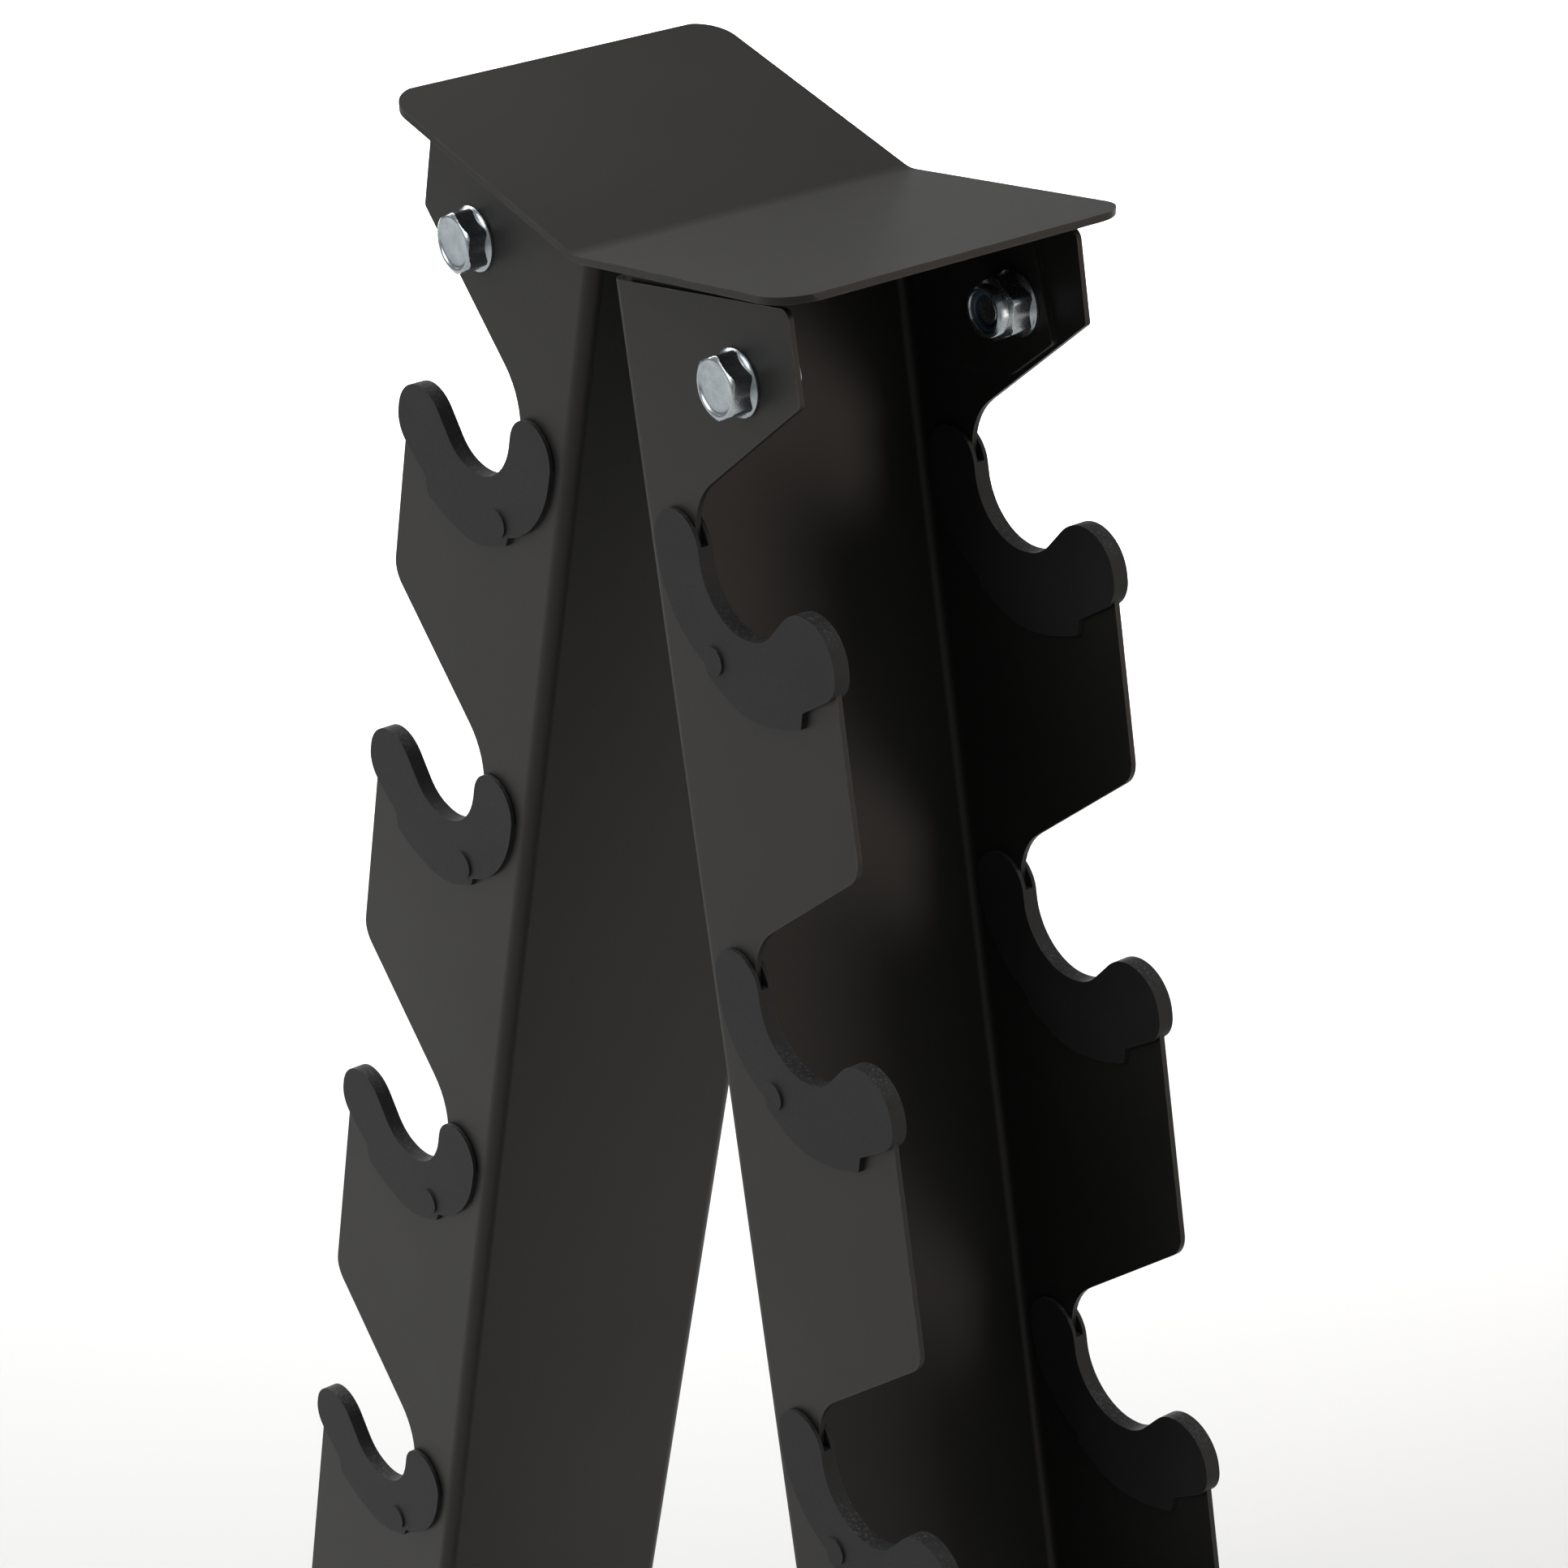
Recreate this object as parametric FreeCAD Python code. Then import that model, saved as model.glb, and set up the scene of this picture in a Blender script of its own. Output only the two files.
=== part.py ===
"""Dumbbell rack: an A-frame of two folded sheet-steel channels with lined hooks.

Millimetres, +Z up. The origin is on the floor, midway between the feet.
X runs across the rack, from one leg to the other, and Y runs along a dumbbell's handle.

A leg is drawn in its own flat coordinates and then leaned into place:
  depth - distance outwards from the back face of the leg's web
  drop  - distance down the leg from the crease of the top plate
"""
import FreeCAD, Part
import math
import os

# ---- driving dimensions -------------------------------------------------------------
CREASE_HEIGHT = 825.0          # top of the plate's crease above the floor
LEAN = 12.15                   # lean of each leg from upright, degrees
LEG_WIDTH = 100.0              # outside width of a leg, across its two flanges
LEG_DEPTH = 85.5               # back of the web to the free edge of a flange
LEG_SHEET = 1.7                # with its powder coat
LEG_BEND = 4.5                 # outside radius of the leg's folds
LEG_GAP = 2.6                  # web to centre plane, level with the crease
LEG_RISE = 0.95                # zero drop at the web lies this far above the crease
LEG_HEAD = 8.5                 # drop at which a leg starts

TIER_DROPS = (35.5, 169.0, 319.0, 480.0, 652.0)
SIDES = ("left", "right")
FLANGES = ("front", "back")

PLATE_SLOPE = 10.7             # slope of each half of the top plate, degrees
PLATE_HALF = 101.0             # crease to end, along the slope
PLATE_WIDTH = 118.0
PLATE_SHEET = 2.2
PLATE_CORNER = 12.0
PLATE_CREASE = 14.0            # inside radius of the crease

HOOK_SLANT = 0.57              # drop gained per unit of depth along the slanted edge
HOOK_BACK = 59.5               # free edge of the flange to the back wall of the hook
HOOK_BOTTOM = 73.5             # tier line to the bottom of the hook
HOOK_BEND = 23.0
HOOK_TIP_DROP = 50.4           # tier line to the corner that the rounded tip cuts off
HOOK_TIP_BEND = 10.5
HOOK_SIDE_DEPTH = 29.0         # where the hook's floor turns up towards the tip
HOOK_SIDE_BEND = 18.5
NECK_BEND = 22.0
TIER_CORNER = 9.0
FIRST_CORNER = 1.5
HEAD_CORNER = 3.0

LINER_WALL = 2.8               # saddle thickness over the edge of the hook
LINER_CHEEK = 1.7              # thickness on each face of the flange
LINER_POCKET_DROP = 47.0       # the saddle stops here and leaves an open pocket
LINER_POCKET_PLAY = 0.45       # gap between the pocket's sides and each face of the flange
LINER_HORN_DROP = 36.8         # top of the rounded horn behind the saddle
LINER_HORN_BACK = 78.3         # inwards from the flange's free edge
LINER_HORN_BEND = 10.7
LINER_HORN_SIDE = (70.6, 35.8)       # drop and radius of the corner under the horn
LINER_LOBE = (79.8, 9.5)             # drop and radius of the lobe's lower corner
LINER_KEEL_DROP = 95.0
LINER_KEEL = ((27.0, 60.0), (45.5, 30.0))        # inwards from the free edge, and radius
LINER_OUTER_STEP = ((15.0, 87.6), (16.8, 92.8))  # inwards from the free edge, and drop
LINER_INNER_STEP = ((60.2, 84.8), (61.0, 81.3))
LINER_STEP_BEND = 0.8
BOSS_DROP = 79.5
BOSS_DEPTH = 55.5              # inwards from the flange's free edge
BOSS_RADIUS = 4.2
BOSS_HEIGHT = 0.8

BRACKET_SHEET = 2.0
BRACKET_START = 11.0           # along the plate, from its crease
BRACKET_END = 69.6
BRACKET_CORNER = 12.0
BRACKET_TIP = (72.0, 42.0, 1.5)      # depth, drop and radius of the lower outer corner
BRACKET_BELLY = (51.0, 53.5, 10.0)
BRACKET_HEEL = (13.0, 53.5, BRACKET_CORNER)

BOLT_DROP = 31.5
BOLT_DEPTH = 57.9
BOLT_RADIUS = 4.9
NUT_BORE = 5.0
HOLE_RADIUS = 5.5
BOLT_FLANGE_RADIUS = 9.9
BOLT_RIM = 1.0                 # thickness of the flange at its edge
BOLT_CONE = 2.2                # rise of the flange from its edge to the flats
BOLT_HEX = 17.0                # across flats
BOLT_CORNER = 9.4              # the corners of the hexagon are rounded to this radius
BOLT_HEAD = 8.0
BOLT_DISH = 0.9                # depth of the shallow recess in the head
NUT_HEIGHT = 12.4
NUT_COLLAR_RADIUS = 7.6
NUT_COLLAR = 3.5               # height of the round collar above the flats
BOLT_SHORT = 1.8               # the shank ends this far below the top of the collar

PAD_HEIGHT = 5.0
PAD_RADIUS = 16.0
FOOT_HEIGHT = 36.0
FOOT_WIDTH = 96.0
FOOT_LENGTH = 360.0
FOOT_SHEET = 2.5
FOOT_BEND = 5.0
CAP_FACE = 5.0
CAP_PLUG = 38.0
CAP_WALL = 3.0
FOOT_BRACKET_TOP = 104.0
FOOT_BRACKET_HALF = 29.0
FOOT_BOLT_HEIGHT = 78.0

TIE_WIDTH = 50.0
TIE_HEIGHT = 28.0
TIE_SHEET = 2.0
TIE_BEND = 4.0
TIE_PLATE_SHEET = 4.0
TIE_PLATE_WIDTH = 110.0
TIE_BOLT_OFFSET = 41.0

# ---- worked-out values --------------------------------------------------------------
LEAN_COS = math.cos(math.radians(LEAN))
LEAN_SIN = math.sin(math.radians(LEAN))
HALF_WIDTH = LEG_WIDTH / 2
INNER_HALF = HALF_WIDTH - LEG_SHEET
FOOT_TOP = PAD_HEIGHT + FOOT_HEIGHT
LEG_LENGTH = (CREASE_HEIGHT + LEG_RISE - FOOT_TOP) / LEAN_COS
FOOT_CENTRE = LEG_GAP + LEG_LENGTH * LEAN_SIN + LEG_DEPTH / LEAN_COS / 2
TIE_HALF = FOOT_CENTRE - FOOT_WIDTH / 2
TIE_LEVEL = PAD_HEIGHT + 4.0 + TIE_HEIGHT / 2
HOOK_SIDE_TURN = math.atan2(HOOK_BOTTOM - HOOK_TIP_DROP, HOOK_SIDE_DEPTH)


# ---- drawing helpers ----------------------------------------------------------------
def rounded_wire(corners, place):
    """Closed wire through corners (a, b, radius), each rounded by a tangent arc."""
    count = len(corners)
    starts = []
    for i in range(count):
        before = FreeCAD.Vector(*corners[i - 1][:2], 0)
        here = FreeCAD.Vector(*corners[i][:2], 0)
        after = FreeCAD.Vector(*corners[(i + 1) % count][:2], 0)
        back = (before - here).normalize()
        onward = (after - here).normalize()
        half = back.getAngle(onward) / 2
        radius = corners[i][2]
        if radius == 0:
            starts.append((here, None, here))
            continue
        reach = radius / math.tan(half)
        middle = (back + onward).normalize() * (radius / math.sin(half) - radius)
        starts.append((here + back * reach, here + middle, here + onward * reach))
    edges = []
    for i in range(count):
        first, middle, last = starts[i]
        if middle is not None:
            edges.append(Part.Arc(place(first), place(middle), place(last)).toShape())
        following = starts[(i + 1) % count][0]
        if last.distanceToPoint(following) > 1e-4:
            edges.append(Part.LineSegment(place(last), place(following)).toShape())
    return Part.Wire(edges)


def prism(corners, place, sweep):
    """Solid swept by the vector sweep from the rounded outline."""
    return Part.Face(rounded_wire(corners, place)).extrude(sweep)


def side_prism(corners, low_y, high_y):
    """Solid with its outline given as (x, z, radius), between two Y planes."""
    return prism(corners, lambda p: FreeCAD.Vector(p.x, low_y, p.y), FreeCAD.Vector(0, high_y - low_y, 0))


def box(low, high):
    size = FreeCAD.Vector(*high) - FreeCAD.Vector(*low)
    return Part.makeBox(size.x, size.y, size.z, FreeCAD.Vector(*low))


def rod(centre, axis, radius, length):
    return Part.makeCylinder(radius, length, centre, axis)


def mirrored(shape):
    """Copy on the other leg's side."""
    return shape.mirror(FreeCAD.Vector(0, 0, 0), FreeCAD.Vector(1, 0, 0))


def on_side(shape, side):
    return shape if side == "right" else mirrored(shape)


def leaned(shape):
    """Stand a shape drawn in leg coordinates (x = depth, z = -drop) on the right leg."""
    out = shape.copy()
    out.rotate(FreeCAD.Vector(0, 0, 0), FreeCAD.Vector(0, 1, 0), -LEAN)
    out.translate(FreeCAD.Vector(LEG_GAP, 0, CREASE_HEIGHT + LEG_RISE))
    return out


def leg_point(depth, drop):
    """Centre-plane point of the right leg."""
    x = LEG_GAP + depth * LEAN_COS + drop * LEAN_SIN
    z = CREASE_HEIGHT + LEG_RISE + depth * LEAN_SIN - drop * LEAN_COS
    return FreeCAD.Vector(x, 0, z)


def save(name, shape):
    shape.exportStep(os.path.join("parts", name + ".step"))


# ---- legs ---------------------------------------------------------------------------
def hook_corners(tier_drop, corner_radius):
    """The flange's edge from one tier's corner, round the hook, to the tip."""
    edge = LEG_DEPTH
    back = edge - HOOK_BACK
    return [
        (edge, -tier_drop, corner_radius),
        (back, -(tier_drop + HOOK_SLANT * HOOK_BACK), NECK_BEND),
        (back, -(tier_drop + HOOK_BOTTOM), HOOK_BEND),
        (edge - HOOK_SIDE_DEPTH, -(tier_drop + HOOK_BOTTOM), HOOK_SIDE_BEND),
        (edge, -(tier_drop + HOOK_TIP_DROP), HOOK_TIP_BEND),
    ]


def flange_outline():
    """Side outline of a whole leg, hooks included."""
    beyond = LEG_LENGTH + LEG_DEPTH
    corners = [(0, -LEG_HEAD, 0), (LEG_DEPTH, -LEG_HEAD, HEAD_CORNER)]
    for index, tier_drop in enumerate(TIER_DROPS):
        corners += hook_corners(tier_drop, TIER_CORNER if index else FIRST_CORNER)
    return corners + [(LEG_DEPTH, -beyond, 0), (0, -beyond, 0)]


def channel_corners():
    """Section of a leg in (depth, y)."""
    inner = LEG_BEND - LEG_SHEET
    return [
        (LEG_DEPTH, -HALF_WIDTH, 0), (0, -HALF_WIDTH, LEG_BEND),
        (0, HALF_WIDTH, LEG_BEND), (LEG_DEPTH, HALF_WIDTH, 0),
        (LEG_DEPTH, INNER_HALF, 0), (LEG_SHEET, INNER_HALF, inner),
        (LEG_SHEET, -INNER_HALF, inner), (LEG_DEPTH, -INNER_HALF, 0),
    ]


def make_leg():
    """Right leg: the folded channel, trimmed by its outline, cut level at the foot."""
    beyond = LEG_LENGTH + LEG_DEPTH
    channel = prism(channel_corners(), lambda p: FreeCAD.Vector(p.x, p.y, 0), FreeCAD.Vector(0, 0, -beyond))
    outline = side_prism(flange_outline(), -LEG_WIDTH, LEG_WIDTH)
    leg = leaned(channel.common(outline))
    leg = leg.cut(box((0, -LEG_WIDTH, -LEG_DEPTH), (600, LEG_WIDTH, FOOT_TOP)))
    for hole in leg_bolt_centres():
        start = hole - FreeCAD.Vector(0, LEG_WIDTH, 0)
        leg = leg.cut(rod(start, FreeCAD.Vector(0, 1, 0), HOLE_RADIUS, 2 * LEG_WIDTH))
    return leg


def leg_bolt_centres():
    """Bolt lines through the right leg: at its head and at its foot."""
    return [leg_point(BOLT_DEPTH, BOLT_DROP), FreeCAD.Vector(FOOT_CENTRE - 5, 0, FOOT_BOLT_HEIGHT)]


# ---- hook liners --------------------------------------------------------------------
def liner_corners(tier_drop):
    """Outline of a liner's cheek, from the horn round the saddle, the lobe and the stepped keel."""
    edge = LEG_DEPTH
    proud = edge + LINER_WALL
    saddle_back = edge - HOOK_BACK + LINER_WALL
    floor = tier_drop + HOOK_BOTTOM - LINER_WALL
    side_depth = HOOK_SIDE_DEPTH + LINER_WALL * math.tan(HOOK_SIDE_TURN / 2)
    tip_rise = LINER_WALL / math.tan(math.pi / 4 - HOOK_SIDE_TURN / 2)
    horn_back = edge - LINER_HORN_BACK
    horn_top = tier_drop + LINER_HORN_DROP
    keel = tier_drop + LINER_KEEL_DROP

    def step(corner, radius):
        return (edge - corner[0], -(tier_drop + corner[1]), radius)

    return [
        (saddle_back, -horn_top, LINER_HORN_BEND),
        (saddle_back, -floor, HOOK_BEND - LINER_WALL),
        (edge - side_depth, -floor, HOOK_SIDE_BEND - LINER_WALL),
        (proud, -(tier_drop + HOOK_TIP_DROP - tip_rise), HOOK_TIP_BEND + LINER_WALL),
        (proud, -(tier_drop + LINER_LOBE[0]), LINER_LOBE[1]),
        step(LINER_OUTER_STEP[0], 0),
        step(LINER_OUTER_STEP[1], LINER_STEP_BEND),
        (edge - LINER_KEEL[0][0], -keel, LINER_KEEL[0][1]),
        (edge - LINER_KEEL[1][0], -keel, LINER_KEEL[1][1]),
        step(LINER_INNER_STEP[0], LINER_STEP_BEND),
        step(LINER_INNER_STEP[1], 0),
        (horn_back, -(tier_drop + LINER_HORN_SIDE[0]), LINER_HORN_SIDE[1]),
        (horn_back, -horn_top, LINER_HORN_BEND),
    ]


def make_liner(tier_drop, flange_prism):
    """Front liner of the right leg: two cheeks joined by a saddle over the hook's edge."""
    outer = -HALF_WIDTH - LINER_CHEEK
    inner = -INNER_HALF + LINER_CHEEK
    liner = side_prism(liner_corners(tier_drop), outer, inner)
    liner = liner.cut(flange_prism)
    floor = -(tier_drop + LINER_POCKET_DROP)
    top = -(tier_drop + LINER_HORN_DROP - 1.0)
    liner = liner.cut(box((0, -HALF_WIDTH - LINER_POCKET_PLAY, floor),
                          (LEG_DEPTH - HOOK_SIDE_DEPTH, -INNER_HALF + LINER_POCKET_PLAY, top)))
    boss = FreeCAD.Vector(LEG_DEPTH - BOSS_DEPTH, outer - BOSS_HEIGHT, -(tier_drop + BOSS_DROP))
    liner = liner.fuse(rod(boss, FreeCAD.Vector(0, 1, 0), BOSS_RADIUS, BOSS_HEIGHT + LINER_CHEEK / 2))
    return liner.removeSplitter()


def placed_liner(liner, side, flange):
    """Lean a liner into place and copy it to its side and flange."""
    out = on_side(leaned(liner), side)
    return out if flange == "front" else out.mirror(FreeCAD.Vector(0, 0, 0), FreeCAD.Vector(0, 1, 0))


def make_liners():
    """All liners, as (name, shape)."""
    flange_prism = side_prism(flange_outline(), -HALF_WIDTH, -INNER_HALF)
    made = []
    for index, tier_drop in enumerate(TIER_DROPS):
        liner = make_liner(tier_drop, flange_prism)
        for side in SIDES:
            for flange in FLANGES:
                name = "hook_liner_{}_{}_{}".format(side, flange, index + 1)
                made.append((name, placed_liner(liner, side, flange)))
    return made


# ---- top plate and brackets ---------------------------------------------------------
def facet_point(along, down):
    """Point of the right half of the plate: along its slope, then down square to it."""
    cos = math.cos(math.radians(PLATE_SLOPE))
    sin = math.sin(math.radians(PLATE_SLOPE))
    return (along * cos + down * sin, CREASE_HEIGHT + along * sin - down * cos)


def make_plate():
    """V-bent sheet with rounded corners."""
    top = facet_point(PLATE_HALF, 0)
    under = facet_point(PLATE_HALF, PLATE_SHEET)
    valley = CREASE_HEIGHT - PLATE_SHEET / math.cos(math.radians(PLATE_SLOPE))
    corners = [
        (-top[0], top[1], 0), (0, CREASE_HEIGHT, PLATE_CREASE), (top[0], top[1], 0),
        (under[0], under[1], 0), (0, valley, PLATE_CREASE + PLATE_SHEET), (-under[0], under[1], 0),
    ]
    half = PLATE_WIDTH / 2
    sheet = side_prism(corners, -half, half)
    reach = under[0]
    plan = [(reach, half, PLATE_CORNER), (-reach, half, PLATE_CORNER),
            (-reach, -half, PLATE_CORNER), (reach, -half, PLATE_CORNER)]
    low = CREASE_HEIGHT - LEG_DEPTH
    rise = FreeCAD.Vector(0, 0, 2 * LEG_DEPTH)
    return sheet.common(prism(plan, lambda p: FreeCAD.Vector(p.x, p.y, low), rise))


def leg_corner(depth, drop, radius):
    """Corner of an outline in X and Z, given in leg coordinates."""
    place = leg_point(depth, drop)
    return (place.x, place.z, radius)


def make_top_bracket():
    """Folded U bracket under the right half of the plate, inside the leg's flanges."""
    top = PLATE_SHEET
    outline = [facet_point(BRACKET_START, top) + (0,), facet_point(BRACKET_END, top) + (0,),
               leg_corner(*BRACKET_TIP), leg_corner(*BRACKET_BELLY), leg_corner(*BRACKET_HEEL)]
    bracket = side_prism(outline, -INNER_HALF, INNER_HALF)
    inner = INNER_HALF - BRACKET_SHEET
    beyond = 2 * LEG_DEPTH
    ceiling = top + BRACKET_SHEET
    below = ((-beyond, ceiling), (beyond, ceiling), (beyond, beyond), (-beyond, beyond))
    space = [facet_point(*place) + (0,) for place in below]
    bracket = bracket.cut(side_prism(space, -inner, inner))
    centre = leg_bolt_centres()[0] - FreeCAD.Vector(0, LEG_WIDTH, 0)
    return bracket.cut(rod(centre, FreeCAD.Vector(0, 1, 0), HOLE_RADIUS, 2 * LEG_WIDTH))


# ---- fasteners ----------------------------------------------------------------------
def hex_prism(across, height):
    radius = across / 2 / math.cos(math.radians(30))
    corners = [(radius * math.cos(math.radians(a)), radius * math.sin(math.radians(a)), 0)
               for a in range(0, 360, 60)]
    return prism(corners, lambda p: FreeCAD.Vector(p.x, p.y, 0), FreeCAD.Vector(0, 0, height))


def flange_washer():
    """Thin conical flange under a hexagon, with its bearing face at z = 0."""
    up = FreeCAD.Vector(0, 0, 1)
    rim = rod(FreeCAD.Vector(0, 0, 0), up, BOLT_FLANGE_RADIUS, BOLT_RIM)
    cone = Part.makeCone(BOLT_FLANGE_RADIUS, BOLT_HEX / 2, BOLT_CONE, FreeCAD.Vector(0, 0, BOLT_RIM), up)
    return rim.fuse(cone)


def crowned_hex(height):
    """Hexagon whose top corners are turned off at 30 degrees."""
    up = FreeCAD.Vector(0, 0, 1)
    top_radius = BOLT_HEX / 2 - 0.2
    run = height / math.tan(math.radians(30))
    chamfer = Part.makeCone(top_radius + run, top_radius, height, FreeCAD.Vector(0, 0, 0), up)
    rounded = rod(FreeCAD.Vector(0, 0, 0), up, BOLT_CORNER, height)
    return hex_prism(BOLT_HEX, height).common(chamfer).common(rounded)


def make_bolt(grip):
    """Flange bolt with its bearing face at z = 0, its head up and its shank down."""
    up = FreeCAD.Vector(0, 0, 1)
    floor = FreeCAD.Vector(0, 0, BOLT_HEAD - BOLT_DISH)
    dish = Part.makeCone(BOLT_HEX / 2 - 2.6, BOLT_HEX / 2 - 1.4, BOLT_DISH, floor, up)
    length = grip + NUT_HEIGHT - BOLT_SHORT
    shank = rod(FreeCAD.Vector(0, 0, -length), up, BOLT_RADIUS, length)
    return flange_washer().fuse(crowned_hex(BOLT_HEAD)).cut(dish).fuse(shank).removeSplitter()


def make_nut():
    """Flanged lock nut with its bearing face at z = 0 and a round collar on top."""
    up = FreeCAD.Vector(0, 0, 1)
    collar = rod(FreeCAD.Vector(0, 0, 0), up, NUT_COLLAR_RADIUS, NUT_HEIGHT)
    nut = flange_washer().fuse(crowned_hex(NUT_HEIGHT - NUT_COLLAR)).fuse(collar)
    return nut.cut(rod(FreeCAD.Vector(0, 0, -1), up, NUT_BORE, NUT_HEIGHT + 2)).removeSplitter()


def aimed(shape, centre, axis):
    """Turn a fastener's +Z to axis and move it to centre."""
    out = shape.copy()
    out.Placement = FreeCAD.Placement(centre, FreeCAD.Rotation(FreeCAD.Vector(0, 0, 1), axis))
    return out


def leg_fasteners(centre, inner_sheet):
    """Bolts from outside and nuts from inside, on both flanges of both legs."""
    grip = LEG_SHEET + inner_sheet
    bolt, nut = make_bolt(grip), make_nut()
    bolts, nuts = [], []
    for side in (1, -1):
        for face in (1, -1):
            out = FreeCAD.Vector(0, face, 0)
            seat = FreeCAD.Vector(centre.x * side, face * HALF_WIDTH, centre.z)
            bolts.append(aimed(bolt, seat, out))
            nuts.append(aimed(nut, seat - out * grip, -out))
    return Part.makeCompound(bolts), Part.makeCompound(nuts)


def tie_fasteners():
    """Bolts through the tie's end plates, with nuts inside the feet."""
    grip = TIE_PLATE_SHEET + FOOT_SHEET
    bolt, nut = make_bolt(grip), make_nut()
    bolts, nuts = [], []
    for side in (1, -1):
        for y in (-TIE_BOLT_OFFSET, TIE_BOLT_OFFSET):
            inwards = FreeCAD.Vector(-side, 0, 0)
            seat = FreeCAD.Vector(side * (TIE_HALF - TIE_PLATE_SHEET), y, TIE_LEVEL)
            bolts.append(aimed(bolt, seat, inwards))
            nuts.append(aimed(nut, seat - inwards * grip, -inwards))
    return Part.makeCompound(bolts), Part.makeCompound(nuts)


# ---- base ---------------------------------------------------------------------------
def u_section(half, low, high, sheet, bend):
    """Section of an upside-down channel, as (across, height, radius)."""
    inner = half - sheet
    return [
        (-half, low, 0), (-half, high, bend), (half, high, bend), (half, low, 0),
        (inner, low, 0), (inner, high - sheet, bend - sheet),
        (-inner, high - sheet, bend - sheet), (-inner, low, 0),
    ]


def make_foot():
    """Right cross foot: an upside-down channel along Y."""
    half = FOOT_LENGTH / 2
    foot = side_prism(u_section(FOOT_WIDTH / 2, PAD_HEIGHT, FOOT_TOP, FOOT_SHEET, FOOT_BEND), -half, half)
    foot.translate(FreeCAD.Vector(FOOT_CENTRE, 0, 0))
    for y in (-TIE_BOLT_OFFSET, TIE_BOLT_OFFSET):
        start = FreeCAD.Vector(TIE_HALF - 5, y, TIE_LEVEL)
        foot = foot.cut(rod(start, FreeCAD.Vector(1, 0, 0), HOLE_RADIUS, 12))
    return foot


def make_foot_bracket():
    """U bracket that stands on the right foot, inside the foot of the leg."""
    low, high = FOOT_TOP, FOOT_BRACKET_TOP
    half = FOOT_BRACKET_HALF
    outline = [(-half, low, 0), (-half, high, BRACKET_CORNER), (half, high, BRACKET_CORNER), (half, low, 0)]
    bracket = side_prism(outline, -INNER_HALF, INNER_HALF)
    inner = INNER_HALF - BRACKET_SHEET
    bracket = bracket.cut(box((-2 * half, -inner, low + BRACKET_SHEET), (2 * half, inner, 2 * high)))
    centre = leg_bolt_centres()[1]
    bracket.translate(FreeCAD.Vector(centre.x, 0, 0))
    centre = centre - FreeCAD.Vector(0, LEG_WIDTH, 0)
    return bracket.cut(rod(centre, FreeCAD.Vector(0, 1, 0), HOLE_RADIUS, 2 * LEG_WIDTH))


def make_end_cap():
    """Front cap of the right foot: a face over the channel's end and a plug inside it."""
    end = -FOOT_LENGTH / 2
    half = FOOT_WIDTH / 2
    face = side_prism([(-half, PAD_HEIGHT, 3), (-half, FOOT_TOP, FOOT_BEND), (half, FOOT_TOP, FOOT_BEND),
                       (half, PAD_HEIGHT, 3)], end - CAP_FACE, end)
    inner = half - FOOT_SHEET
    bend = FOOT_BEND - FOOT_SHEET
    plug = side_prism([(-inner, PAD_HEIGHT, 0), (-inner, FOOT_TOP - FOOT_SHEET, bend),
                       (inner, FOOT_TOP - FOOT_SHEET, bend), (inner, PAD_HEIGHT, 0)], end, end + CAP_PLUG)
    pocket = box((-inner + CAP_WALL, end, PAD_HEIGHT + CAP_WALL),
                 (inner - CAP_WALL, end + CAP_PLUG, FOOT_TOP - FOOT_SHEET - CAP_WALL))
    cap = face.fuse(plug.cut(pocket)).removeSplitter()
    cap.translate(FreeCAD.Vector(FOOT_CENTRE, 0, 0))
    return cap


def make_pad():
    """Rubber pad under the front cap of the right foot."""
    centre = FreeCAD.Vector(FOOT_CENTRE, -FOOT_LENGTH / 2 + CAP_PLUG / 2, 0)
    up = FreeCAD.Vector(0, 0, 1)
    foot = Part.makeCone(PAD_RADIUS - 1.5, PAD_RADIUS, 1.5, centre, up)
    return foot.fuse(rod(centre + up * 1.5, up, PAD_RADIUS, PAD_HEIGHT - 1.5)).removeSplitter()


def make_tie():
    """Upside-down channel between the two end plates."""
    half = TIE_HALF - TIE_PLATE_SHEET
    low = TIE_LEVEL - TIE_HEIGHT / 2
    section = u_section(TIE_WIDTH / 2, low, low + TIE_HEIGHT, TIE_SHEET, TIE_BEND)
    return prism(section, lambda p: FreeCAD.Vector(-half, p.x, p.y), FreeCAD.Vector(2 * half, 0, 0))


def make_tie_plate():
    """End plate of the tie, against the inner side of the right foot."""
    half, low = TIE_PLATE_WIDTH / 2, TIE_LEVEL - TIE_HEIGHT / 2
    corners = [(-half, low, 6), (half, low, 6), (half, low + TIE_HEIGHT, 6), (-half, low + TIE_HEIGHT, 6)]
    start = TIE_HALF - TIE_PLATE_SHEET
    plate = prism(corners, lambda p: FreeCAD.Vector(start, p.x, p.y), FreeCAD.Vector(TIE_PLATE_SHEET, 0, 0))
    for y in (-TIE_BOLT_OFFSET, TIE_BOLT_OFFSET):
        hole = FreeCAD.Vector(start - 1, y, TIE_LEVEL)
        plate = plate.cut(rod(hole, FreeCAD.Vector(1, 0, 0), HOLE_RADIUS, TIE_PLATE_SHEET + 2))
    return plate


# ---- write every node ---------------------------------------------------------------
def save_sided(name, shape):
    """Write the right-hand piece and its mirror image."""
    for side in SIDES:
        save("{}_{}".format(name, side), on_side(shape, side))


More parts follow.
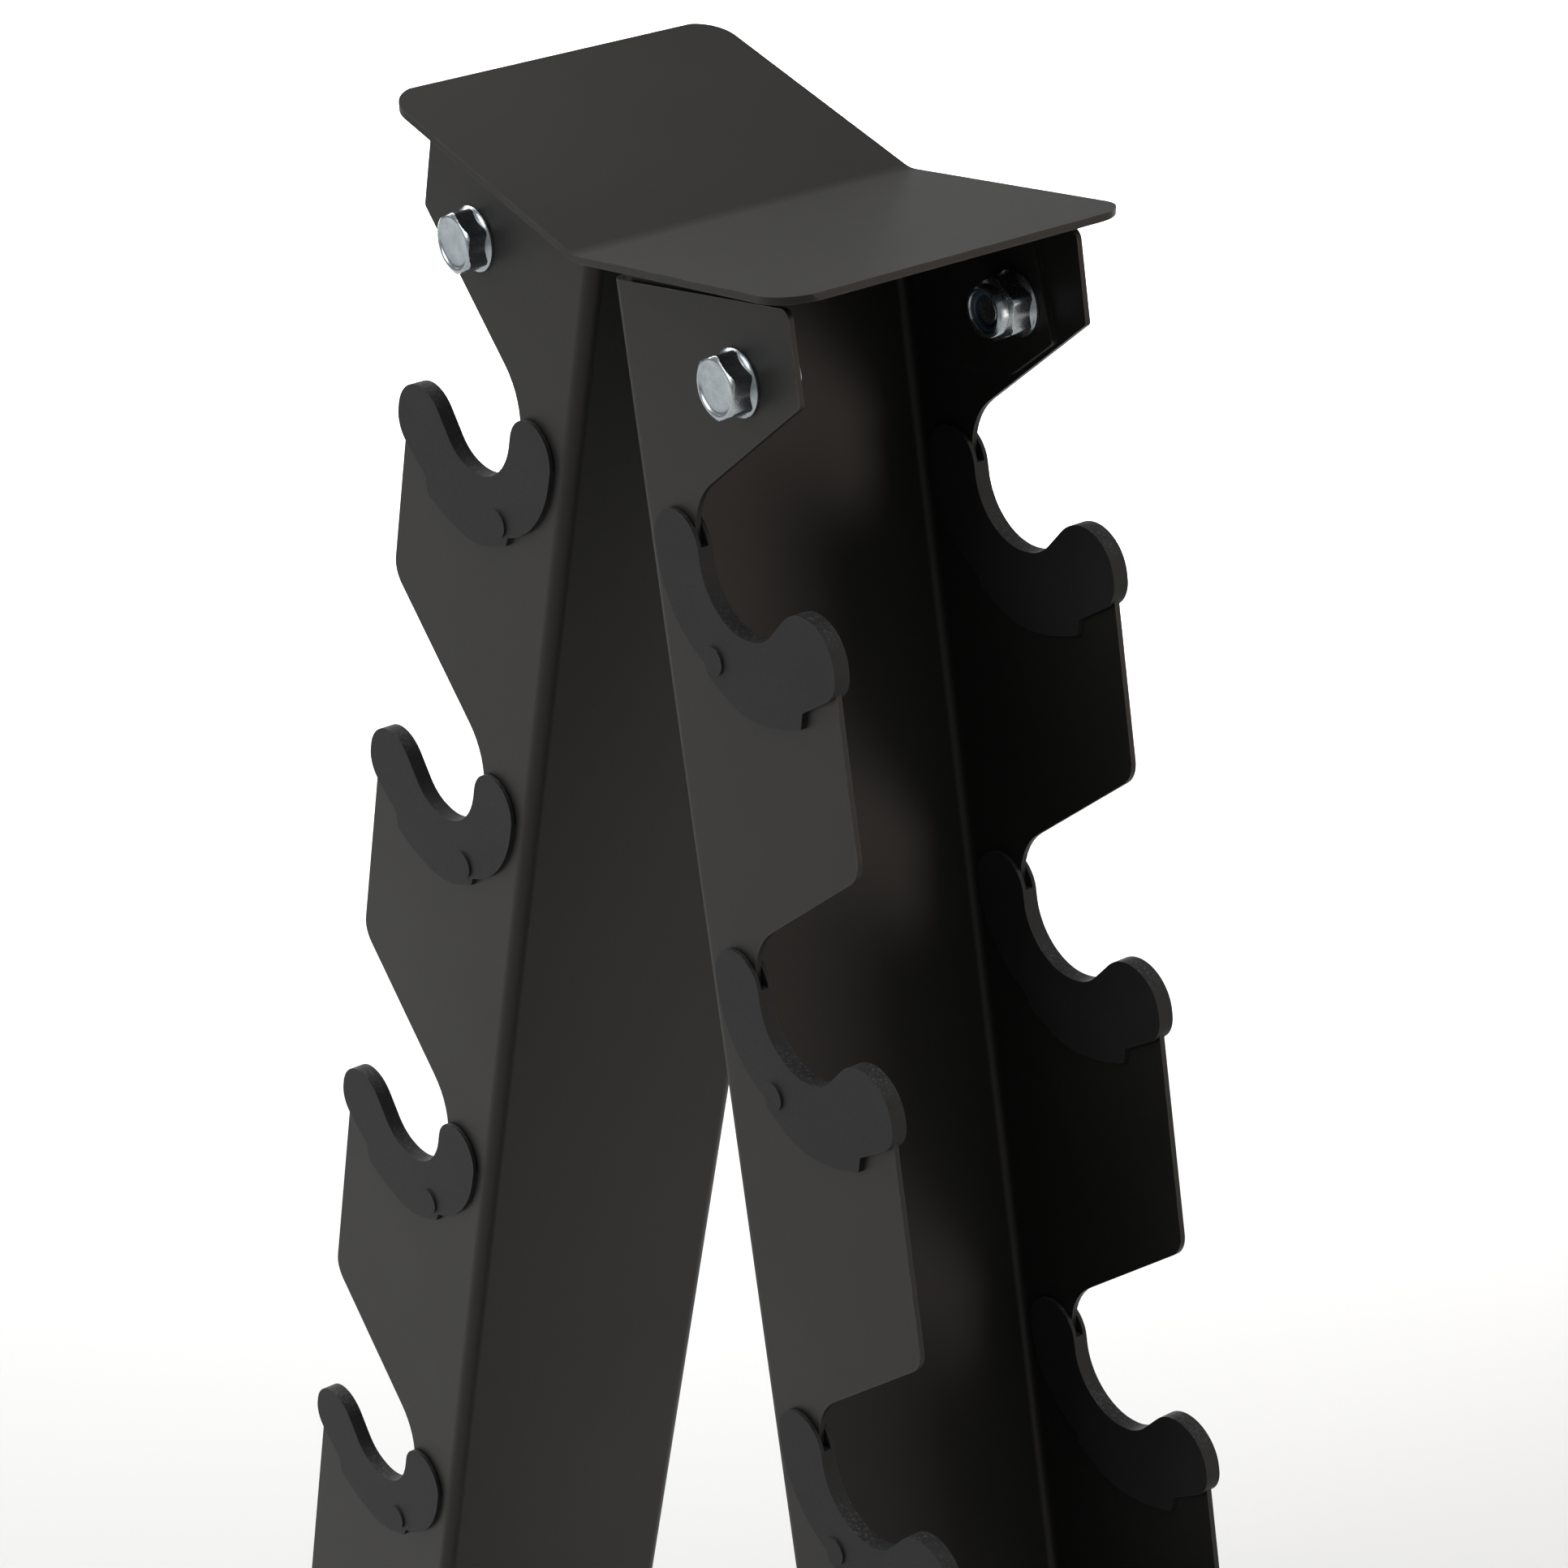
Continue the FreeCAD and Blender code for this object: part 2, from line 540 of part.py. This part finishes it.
def save_feet():
    save_sided("foot", make_foot())
    save_sided("foot_bracket", make_foot_bracket())
    save_sided("tie_end_plate", make_tie_plate())
    save("tie_bar", make_tie())
    for name, front in (("foot_cap", make_end_cap()), ("foot_pad", make_pad())):
        back = front.mirror(FreeCAD.Vector(0, 0, 0), FreeCAD.Vector(0, 1, 0))
        for side in SIDES:
            save("{}_{}_front".format(name, side), on_side(front, side))
            save("{}_{}_back".format(name, side), on_side(back, side))


def save_fasteners():
    head, foot = leg_bolt_centres()
    for name, pair in (("top", leg_fasteners(head, BRACKET_SHEET)),
                       ("foot", leg_fasteners(foot, BRACKET_SHEET)), ("tie", tie_fasteners())):
        save(name + "_bolts", pair[0])
        save(name + "_nuts", pair[1])


def main():
    os.makedirs("parts", exist_ok=True)
    save_sided("leg", make_leg())
    save("top_plate", make_plate())
    save_sided("top_bracket", make_top_bracket())
    for name, liner in make_liners():
        save(name, liner)
    save_feet()
    save_fasteners()


main()
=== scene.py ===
"""Looks of the dumbbell rack: powder-coated sheet, moulded hook liners and zinc fasteners."""
import math

import bmesh
import bpy
from mathutils import Matrix, Vector


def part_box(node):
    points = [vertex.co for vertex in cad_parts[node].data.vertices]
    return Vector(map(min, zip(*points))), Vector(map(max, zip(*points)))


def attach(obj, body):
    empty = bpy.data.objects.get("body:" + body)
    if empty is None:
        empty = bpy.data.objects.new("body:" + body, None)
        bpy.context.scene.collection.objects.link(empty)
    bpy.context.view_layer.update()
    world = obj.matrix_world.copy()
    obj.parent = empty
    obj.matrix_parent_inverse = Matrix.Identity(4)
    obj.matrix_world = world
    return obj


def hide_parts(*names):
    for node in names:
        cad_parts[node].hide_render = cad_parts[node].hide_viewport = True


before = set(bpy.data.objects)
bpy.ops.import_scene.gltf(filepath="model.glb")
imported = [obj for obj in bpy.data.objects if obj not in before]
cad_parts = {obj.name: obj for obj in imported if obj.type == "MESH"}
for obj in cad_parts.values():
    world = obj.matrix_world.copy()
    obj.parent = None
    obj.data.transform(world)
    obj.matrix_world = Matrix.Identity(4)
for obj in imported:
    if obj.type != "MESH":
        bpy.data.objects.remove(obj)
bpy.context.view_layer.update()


MM = 0.001

# ---- camera ---------------------------------------------------------------------------
VIEW_AZIMUTH = math.radians(53.85)
VIEW_ELEVATION = math.radians(28.6)
VIEW_DISTANCE = 1.1966
VIEW_LENS = 96.5
VIEW_OFFSET = Vector((0.0694, -0.0374, -0.1433))   # from the plate's crease to the aim point
SENSOR = 36.0
PLATE_SLOPE = math.radians(10.7)

# ---- edges of the CAD nodes -----------------------------------------------------------
FACET_ANGLE = math.radians(0.6)    # flatter facets than this are merged
EDGE_ANGLE = math.radians(40)      # sharper edges than this are rounded
SHEET_EDGE = 0.35 * MM
LINER_EDGE = 0.6 * MM
CAP_EDGE = 1.2 * MM
PAD_EDGE = 0.8 * MM

# ---- fasteners, in millimetres --------------------------------------------------------
HEX_FLAT = 17.0
HEX_CORNER = 9.4               # the hexagon's corners are rounded off at this radius
FLANGE_RADIUS = 9.9
RIM_TOP = 1.0                  # height at which the flange's rim ends and its cone begins
RIM_ROUND = 0.15
CONE_TOP = 2.3                 # height at which the conical flange meets the flats
HEAD_HEIGHT = 8.0
NUT_HEIGHT = 12.4
COLLAR_RADIUS = 7.6
COLLAR_BORE = 6.0
INSERT_DEPTH = 1.0             # nylon below the top of the collar
INSERT_HEIGHT = 2.3
BOLT_SHORT = 1.8               # the shank ends this far below the top of the collar
THREAD_RADIUS = 4.9
THREAD_PITCH = 1.5
THREAD_DEPTH = 0.75
THREAD_STEPS = 6               # rings along one pitch
LATHE_SEGMENTS = 96
SMOOTH_ANGLE = math.radians(32)

# ---- studio ---------------------------------------------------------------------------
FLOOR_HALF = 12
LIGHT_TARGET = (0, 0, 0.55)
SKY_STRENGTH = 0.30


# ---- node helpers ---------------------------------------------------------------------
class Shader:
    """A node material with short calls for adding nodes and links."""

    def __init__(self, name):
        self.material = bpy.data.materials.new(name)
        self.material.use_nodes = True
        self.tree = self.material.node_tree
        self.surface = self.tree.nodes["Principled BSDF"]
        coords = self.tree.nodes.new("ShaderNodeTexCoord")
        self.place = coords.outputs["Object"]

    def node(self, kind, **values):
        """New node; a value such as from_min goes to the input called From Min."""
        made = self.tree.nodes.new(kind)
        for key, value in values.items():
            made.inputs[key.replace("_", " ").title()].default_value = value
        return made

    def link(self, source, target):
        self.tree.links.new(source, target)

    def set(self, **values):
        """Constants on the surface shader's own sockets."""
        for key, value in values.items():
            self.surface.inputs[key.replace("_", " ")].default_value = value

    def noise(self, scale, detail=2.0, roughness=0.5, distortion=0.0):
        made = self.node("ShaderNodeTexNoise", scale=scale, detail=detail,
                         roughness=roughness, distortion=distortion)
        self.link(self.place, made.inputs["Vector"])
        return made.outputs["Fac"]

    def ramp(self, source, low, high, low_value, high_value):
        """Map source from low..high to low_value..high_value, clamped."""
        made = self.node("ShaderNodeMapRange", from_min=low, from_max=high,
                         to_min=low_value, to_max=high_value)
        self.link(source, made.inputs["Value"])
        return made.outputs["Result"]

    def math(self, operation, first, second):
        """Math node; first and second are numbers or sockets."""
        made = self.node("ShaderNodeMath")
        made.operation = operation
        for socket, value in zip(made.inputs, (first, second)):
            if isinstance(value, (int, float)):
                socket.default_value = value
            else:
                self.link(value, socket)
        return made.outputs[0]

    def blend(self, factor, first, second):
        """Colour mix; first and second are colours or sockets."""
        made = self.node("ShaderNodeMix")
        made.data_type = "RGBA"
        self.link(factor, made.inputs["Factor"])
        for socket, value in ((made.inputs[6], first), (made.inputs[7], second)):
            if isinstance(value, tuple):
                socket.default_value = (*value, 1.0)
            else:
                self.link(value, socket)
        return made.outputs[2]

    def bump(self, height, strength, distance, after=None):
        made = self.node("ShaderNodeBump", strength=strength, distance=distance)
        self.link(height, made.inputs["Height"])
        if after is not None:
            self.link(after, made.inputs["Normal"])
        return made.outputs["Normal"]

    def upward(self, low, high):
        """0 on steep faces, rising to 1 on level faces that look up."""
        shape = self.node("ShaderNodeNewGeometry")
        split = self.node("ShaderNodeSeparateXYZ")
        self.link(shape.outputs["True Normal"], split.inputs["Vector"])
        return self.ramp(split.outputs["Z"], low, high, 0.0, 1.0)

    def edges(self, radius):
        """0 on flat faces, rising towards 1 along sharp edges within radius."""
        bevel = self.node("ShaderNodeBevel", radius=radius)
        bevel.samples = 6
        shape = self.node("ShaderNodeNewGeometry")
        dot = self.node("ShaderNodeVectorMath")
        dot.operation = "DOT_PRODUCT"
        self.link(bevel.outputs["Normal"], dot.inputs[0])
        self.link(shape.outputs["True Normal"], dot.inputs[1])
        return self.ramp(dot.outputs["Value"], 0.995, 0.80, 0.0, 1.0)


def brighter(colour, factor):
    return tuple(c * factor for c in colour)


# ---- materials ------------------------------------------------------------------------
def powder_coat(name, colour, rubbed, roughness):
    """Satin black powder coat: orange peel, fine grain, faint mottling, rubbed edges."""
    s = Shader(name)
    peel = s.noise(620, detail=2.0)
    grain = s.noise(3400, detail=3.0, roughness=0.65)
    mottle = s.noise(9, detail=4.0, roughness=0.6)
    specks = s.ramp(s.noise(2100, detail=1.0), 0.66, 0.78, 0.0, 0.55)
    broken = s.ramp(s.noise(160, detail=5.0), 0.42, 0.72, 0.15, 1.0)
    wear = s.math("MULTIPLY", s.edges(0.0009), broken)
    base = s.blend(s.ramp(mottle, 0.3, 0.7, 0.0, 1.0), colour, brighter(colour, 1.22))
    base = s.blend(specks, base, brighter(colour, 1.9))
    base = s.blend(s.math("MULTIPLY", wear, 0.6), base, rubbed)
    s.link(base, s.surface.inputs["Base Color"])
    rough = s.ramp(mottle, 0.25, 0.75, roughness - 0.03, roughness + 0.05)
    rough = s.math("SUBTRACT", rough, s.math("MULTIPLY", wear, 0.08))
    s.link(rough, s.surface.inputs["Roughness"])
    s.set(Specular_IOR_Level=0.26, Specular_Tint=(1.0, 0.94, 0.885, 1.0))
    first = s.bump(peel, 0.35, 0.00006)
    s.link(s.bump(grain, 0.5, 0.00003, after=first), s.surface.inputs["Normal"])
    return s.material


def moulded_plastic(name, colour, roughness, scuff):
    """Matte moulded plastic: spark-eroded texture, pale scuffs, and flecks where things rest on it."""
    s = Shader(name)
    texture = s.noise(2600, detail=4.0, roughness=0.7)
    cloud = s.noise(35, detail=3.0)
    scratches = s.noise(420, detail=6.0, roughness=0.75, distortion=1.5)
    marks = s.math("MULTIPLY", s.ramp(scratches, 0.60, 0.72, 0.0, 1.0),
                   s.ramp(cloud, 0.5, 0.68, 0.0, scuff))
    wear = s.edges(0.0012)
    base = s.blend(s.ramp(cloud, 0.3, 0.7, 0.0, 1.0), colour, brighter(colour, 1.25))
    base = s.blend(marks, base, brighter(colour, 4.5))
    base = s.blend(s.math("MULTIPLY", wear, 0.35), base, brighter(colour, 2.0))
    flecks = s.ramp(s.noise(1100, detail=5.0, roughness=0.8), 0.52, 0.64, 0.0, scuff)
    rubbed = s.math("MULTIPLY", s.upward(0.55, 0.95), flecks)
    rubbed = s.math("MULTIPLY", rubbed, s.ramp(cloud, 0.30, 0.48, 0.0, 1.0))
    base = s.blend(rubbed, base, brighter(colour, 9.0))
    s.link(base, s.surface.inputs["Base Color"])
    s.link(s.ramp(texture, 0.3, 0.7, roughness - 0.05, roughness + 0.06), s.surface.inputs["Roughness"])
    s.set(Specular_IOR_Level=0.25)
    s.link(s.bump(texture, 0.55, 0.00005), s.surface.inputs["Normal"])
    return s.material


def zinc_plate():
    """Bright zinc over turned steel: fine scratches, smoky patches, paler worn edges."""
    s = Shader("zinc_plate")
    s.set(Metallic=1.0)
    smoke = s.noise(260, detail=4.0, roughness=0.6)
    fine = s.noise(2400, detail=5.0, roughness=0.7, distortion=0.6)
    wear = s.edges(0.0006)
    base = s.blend(s.ramp(smoke, 0.3, 0.7, 0.0, 1.0), (0.33, 0.375, 0.40), (0.47, 0.515, 0.54))
    base = s.blend(s.math("MULTIPLY", wear, 0.5), base, (0.72, 0.72, 0.69))
    s.link(base, s.surface.inputs["Base Color"])
    s.link(s.ramp(fine, 0.3, 0.75, 0.16, 0.34), s.surface.inputs["Roughness"])
    s.link(s.bump(fine, 0.25, 0.00003), s.surface.inputs["Normal"])
    return s.material


def nylon():
    """Dark blue nylon of the rings in the lock nuts' collars."""
    s = Shader("nylon")
    cloud = s.noise(300, detail=3.0)
    s.link(s.blend(cloud, (0.020, 0.034, 0.055), (0.032, 0.052, 0.080)), s.surface.inputs["Base Color"])
    s.link(s.ramp(cloud, 0.2, 0.8, 0.35, 0.5), s.surface.inputs["Roughness"])
    s.set(Subsurface_Weight=0.1)
    return s.material


def rubber():
    """Dusty matte rubber of the floor pads."""
    s = Shader("pad_rubber")
    dust = s.noise(90, detail=5.0, roughness=0.65)
    grain = s.noise(1900, detail=3.0)
    s.link(s.blend(s.ramp(dust, 0.45, 0.75, 0.0, 1.0), (0.018, 0.018, 0.018), (0.06, 0.058, 0.055)),
           s.surface.inputs["Base Color"])
    s.link(s.ramp(dust, 0.3, 0.7, 0.72, 0.9), s.surface.inputs["Roughness"])
    s.link(s.bump(grain, 0.6, 0.0001), s.surface.inputs["Normal"])
    return s.material


# ---- CAD nodes that stay --------------------------------------------------------------
def soften(piece, width):
    """Merge flat facets and round sharp edges by width."""
    flat = piece.modifiers.new("merge_facets", "DECIMATE")
    flat.decimate_type = "DISSOLVE"
    flat.angle_limit = FACET_ANGLE
    edge = piece.modifiers.new("edge_rounds", "BEVEL")
    edge.width = width
    edge.segments = 3
    edge.limit_method = "ANGLE"
    edge.angle_limit = EDGE_ANGLE
    edge.use_clamp_overlap = False
    edge.harden_normals = True


def dress(names, material, width):
    """Give every named CAD node its material and rounded edges."""
    for name in names:
        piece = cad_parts[name]
        piece.data.materials.clear()
        piece.data.materials.append(material)
        soften(piece, width)


def starting(*prefixes):
    """Names of the CAD nodes that begin with any of the prefixes."""
    return [name for name in sorted(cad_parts) if name.startswith(prefixes)]


# ---- fastener meshes ------------------------------------------------------------------
def hex_radius(angle):
    """Radius of the rounded hexagon of width HEX_FLAT at an angle."""
    sector = math.radians(60)
    off = (angle + sector / 2) % sector - sector / 2
    return min(HEX_FLAT / 2 / math.cos(off), HEX_CORNER)


def hex_ring(height, least=0.0, most=99.0):
    """Ring round the hexagon, kept between two radii."""
    return (height, lambda angle: min(max(hex_radius(angle), least), most))


def lathe(name, rings, material):
    """Surface through rings (height, radius); radius is a number or a function of angle."""
    mesh = bmesh.new()
    loops = []
    for height, radius in rings:
        if radius == 0:
            loops.append([mesh.verts.new((0, 0, height))])
            continue
        loop = []
        for i in range(LATHE_SEGMENTS):
            angle = 2 * math.pi * i / LATHE_SEGMENTS
            reach = radius(angle) if callable(radius) else radius
            loop.append(mesh.verts.new((reach * math.cos(angle), reach * math.sin(angle), height)))
        loops.append(loop)
    for low, high in zip(loops, loops[1:]):
        for i in range(LATHE_SEGMENTS):
            j = (i + 1) % LATHE_SEGMENTS
            corners = [low[i % len(low)], low[j % len(low)], high[j % len(high)], high[i % len(high)]]
            unique = list(dict.fromkeys(corners))
            if len(unique) > 2:
                mesh.faces.new(unique)
    bmesh.ops.recalc_face_normals(mesh, faces=mesh.faces)
    data = bpy.data.meshes.new(name)
    mesh.to_mesh(data)
    mesh.free()
    data.materials.append(material)
    for polygon in data.polygons:
        polygon.use_smooth = True
    data.set_sharp_from_angle(angle=SMOOTH_ANGLE)
    piece = bpy.data.objects.new(name, data)
    bpy.context.collection.objects.link(piece)
    return piece


def flange_rings():
    """Rim and cone of the flange, from the bearing face up to the flats."""
    cone_foot = FLANGE_RADIUS - RIM_ROUND
    rings = [(0, FLANGE_RADIUS - 0.3), (0.12, FLANGE_RADIUS), (0.8, FLANGE_RADIUS), (RIM_TOP, cone_foot)]
    steps = 8
    for i in range(1, steps + 1):
        part = i / steps
        skirt = HEX_FLAT / 2 + (cone_foot - HEX_FLAT / 2) * (1 - part) ** 1.5
        rings.append(hex_ring(RIM_TOP + (CONE_TOP - RIM_TOP) * part, least=skirt))
    return rings


def chamfer_rings(top, radius):
    """Hexagon corners turned off at 30 degrees down to a circle at the top."""
    slope = math.tan(math.radians(30))
    heights = (1.15, 0.9, 0.7, 0.5, 0.3, 0.1)
    return [hex_ring(top - h, most=radius + h / slope) for h in heights] + [(top, radius)]


def thread_radius(turn):
    """Radius of a thread's flank as a function of angle, for a ring turn pitches up."""
    def radius(angle):
        phase = (turn - angle / (2 * math.pi)) % 1.0
        return THREAD_RADIUS - THREAD_DEPTH * abs(2 * phase - 1)
    return radius


def bolt_rings(grip):
    """Dished flange-bolt head above z = 0 and a threaded shank below it."""
    length = grip + NUT_HEIGHT - BOLT_SHORT
    rings = [(-length, 0), (-length, THREAD_RADIUS - 1.25), (-length + 0.25, THREAD_RADIUS - 1.0)]
    step = THREAD_PITCH / THREAD_STEPS
    start = -length + 1.0
    for i in range(int((length - grip - 1.2) / step)):
        rings.append((start + i * step, thread_radius(i / THREAD_STEPS)))
    rings += [(-grip - 0.1, THREAD_RADIUS), (0, THREAD_RADIUS)] + flange_rings()
    rings += chamfer_rings(HEAD_HEIGHT - 0.1, HEX_FLAT / 2 - 0.15)
    dish = ((0.0, 8.1), (0.0, 7.7), (0.1, 7.4), (0.32, 7.1), (0.5, 6.75),
            (0.56, 6.3), (0.56, 3.0), (0.56, 0))
    return rings + [(HEAD_HEIGHT - depth, radius) for depth, radius in dish]


def nut_rings():
    """Flanged lock nut above z = 0, open through its middle, with a rolled collar."""
    bore = THREAD_RADIUS + 0.1
    shoulder = NUT_HEIGHT - 3.5
    seat = NUT_HEIGHT - INSERT_DEPTH - INSERT_HEIGHT
    rings = [(0, bore)] + flange_rings() + chamfer_rings(shoulder, COLLAR_RADIUS + 0.15)
    collar = ((3.45, 0.0), (0.9, 0.0), (0.4, -0.2), (0.1, -0.55),
              (0.0, -0.95), (0.12, -1.3), (0.4, -1.5))
    rings += [(NUT_HEIGHT - down, COLLAR_RADIUS + out) for down, out in collar]
    return rings + [(NUT_HEIGHT - 0.8, COLLAR_BORE), (seat, COLLAR_BORE), (seat, bore), (0, bore)]


def insert_rings():
    """Nylon ring held by a lock nut's collar."""
    bore = THREAD_RADIUS - 0.1
    rim = COLLAR_BORE - 0.03
    top = NUT_HEIGHT - INSERT_DEPTH
    low = top - INSERT_HEIGHT + 0.05
    return [(low, bore), (low, rim), (top - 0.1, rim), (top, rim - 0.15), (top, bore + 0.4),
            (top - 0.35, bore), (low, bore)]


def shells(data):
    """Boxes of the mesh's separate shells."""
    parent = list(range(len(data.vertices)))

    def root(i):
        while parent[i] != i:
            parent[i] = parent[parent[i]]
            i = parent[i]
        return i

    by_place = {}
    for v in data.vertices:
        key = tuple(round(c * 1e6) for c in v.co)
        parent[root(v.index)] = root(by_place.setdefault(key, v.index))
    for edge in data.edges:
        parent[root(edge.vertices[0])] = root(edge.vertices[1])
    groups = {}
    for v in data.vertices:
        groups.setdefault(root(v.index), []).append(v.co)
    boxes = []
    for places in groups.values():
        low = Vector([min(p[k] for p in places) for k in range(3)])
        high = Vector([max(p[k] for p in places) for k in range(3)])
        boxes.append((low, high))
    return sorted(boxes, key=lambda b: tuple(round(c, 4) for c in b[0]))


def fastener(name, rings, seat, outward, material):
    """One lathe-made fastener with its bearing face on seat."""
    piece = lathe(name, rings, material)
    turn = Vector((0, 0, 1)).rotation_difference(outward).to_matrix().to_4x4()
    piece.data.transform(Matrix.Translation(seat) @ turn @ Matrix.Scale(MM, 4))
    return piece


def add_fasteners(kind, axis, metal, ring_material):
    """Detailed bolts and nuts, along an axis, in place of one group's CAD solids."""
    for number, (low, high) in enumerate(shells(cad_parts[kind + "_bolts"].data), 1):
        middle = (low + high) / 2
        towards = bolt_direction(kind, middle, axis)
        outward = Vector((0, 0, 0))
        outward[axis] = towards
        grip = (high[axis] - low[axis]) / MM - HEAD_HEIGHT - NUT_HEIGHT + BOLT_SHORT
        seat = middle.copy()
        seat[axis] = (high[axis] if towards > 0 else low[axis]) - towards * HEAD_HEIGHT * MM
        bolt = fastener("{}_bolt_{}".format(kind, number), bolt_rings(grip), seat, outward, metal)
        place_piece(bolt, "zinc_steel", kind + "_bolts")
        nut_seat = seat - outward * grip * MM
        nut = fastener("{}_nut_{}".format(kind, number), nut_rings(), nut_seat, -outward, metal)
        place_piece(nut, "zinc_steel", kind + "_nuts")
        ring_name = "{}_nut_insert_{}".format(kind, number)
        ring = fastener(ring_name, insert_rings(), nut_seat, -outward, ring_material)
        place_piece(ring, "zinc_steel")


def bolt_direction(kind, middle, axis):
    """+1 or -1: the way a bolt's head faces along its axis."""
    side = 1 if middle[axis] > 0 else -1
    return -side if kind == "tie" else side


def place_piece(piece, slot, *replaced):
    """Put a piece on the rack's body and hide the CAD nodes that it stands for; slot is not used."""
    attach(piece, "root")
    if replaced:
        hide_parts(*replaced)


# ---- studio ---------------------------------------------------------------------------
def add_floor():
    mesh = bmesh.new()
    bmesh.ops.create_grid(mesh, x_segments=4, y_segments=4, size=FLOOR_HALF)
    data = bpy.data.meshes.new("floor")
    mesh.to_mesh(data)
    mesh.free()
    floor = bpy.data.objects.new("floor", data)
    bpy.context.collection.objects.link(floor)
    s = Shader("studio_floor")
    cloud = s.noise(0.8, detail=2.0)
    s.link(s.blend(cloud, (0.62, 0.62, 0.62), (0.66, 0.66, 0.66)), s.surface.inputs["Base Color"])
    s.set(Roughness=0.9)
    data.materials.append(s.material)


def add_light(name, place, target, size, power, colour=(1, 1, 1), spread=180):
    """Soft box at place that faces target; size in metres, power in watts."""
    data = bpy.data.lights.new(name, "AREA")
    data.spread = math.radians(spread)
    data.shape = "RECTANGLE"
    data.size, data.size_y = size
    data.energy = power
    data.color = colour
    lamp = bpy.data.objects.new(name, data)
    lamp.location = place
    lamp.rotation_euler = (Vector(target) - Vector(place)).to_track_quat("-Z", "Y").to_euler()
    bpy.context.collection.objects.link(lamp)


def add_studio():
    add_floor()
    add_light("left", (-2.6, -0.2, 2.2), LIGHT_TARGET, (2.2, 2.2), 70)
    add_light("front", (-0.7, -3.0, 1.9), LIGHT_TARGET, (1.8, 1.8), 36)
    add_light("overhead", (0.2, -0.2, 3.0), LIGHT_TARGET, (2.4, 2.4), 30)
    add_light("right_rear", (2.2, 1.4, 0.75), LIGHT_TARGET, (1.0, 1.2), 11, (1.0, 0.9, 0.8))
    add_light("rear", (0.9, 3.2, 2.2), LIGHT_TARGET, (1.8, 1.8), 30, (1.0, 0.95, 0.9))
    add_light("far_floor", (-5.2, 5.0, 3.0), (-5.2, 5.0, 0), (8.8, 8.8), 980, spread=50)
    world = bpy.data.worlds.new("studio")
    world.use_nodes = True
    sky = world.node_tree.nodes["Background"]
    sky.inputs["Color"].default_value = (1.0, 1.0, 1.0, 1.0)
    sky.inputs["Strength"].default_value = SKY_STRENGTH
    bpy.context.scene.world = world
    bpy.context.scene.view_settings.view_transform = "Standard"


def add_camera():
    """Camera placed from the crease of the top plate."""
    plate_low, plate_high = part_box("top_plate")
    half_length = (plate_high[0] - plate_low[0]) / 2
    crease = plate_high[2] - half_length * math.tan(PLATE_SLOPE)
    aim = Vector((0, 0, crease)) + VIEW_OFFSET
    level = math.cos(VIEW_ELEVATION)
    back = Vector((math.sin(VIEW_AZIMUTH) * level,
                   -math.cos(VIEW_AZIMUTH) * level,
                   math.sin(VIEW_ELEVATION)))
    data = bpy.data.cameras.new("camera")
    data.sensor_width = SENSOR
    data.lens = VIEW_LENS
    data.clip_start = 0.05
    data.clip_end = 60
    camera = bpy.data.objects.new("camera", data)
    camera.location = aim + back * VIEW_DISTANCE
    camera.rotation_euler = (-back).to_track_quat("-Z", "Y").to_euler()
    bpy.context.collection.objects.link(camera)
    bpy.context.scene.camera = camera


# ---- build ----------------------------------------------------------------------------
add_camera()
steel = powder_coat("black_powder_coat", (0.0105, 0.0102, 0.0098), (0.06, 0.06, 0.058), 0.46)
plastic = moulded_plastic("liner_plastic", (0.0105, 0.0105, 0.0107), 0.60, 0.6)
cap = moulded_plastic("cap_plastic", (0.010, 0.010, 0.010), 0.66, 0.25)
metal = zinc_plate()
insert = nylon()

dress(starting("leg_", "top_plate", "top_bracket", "foot_bracket", "foot_left", "foot_right",
               "tie_bar", "tie_end"), steel, SHEET_EDGE)
dress(starting("hook_liner"), plastic, LINER_EDGE)
dress(starting("foot_cap"), cap, CAP_EDGE)
dress(starting("foot_pad"), rubber(), PAD_EDGE)
add_fasteners("top", 1, metal, insert)
add_fasteners("foot", 1, metal, insert)
add_fasteners("tie", 0, metal, insert)
add_studio()
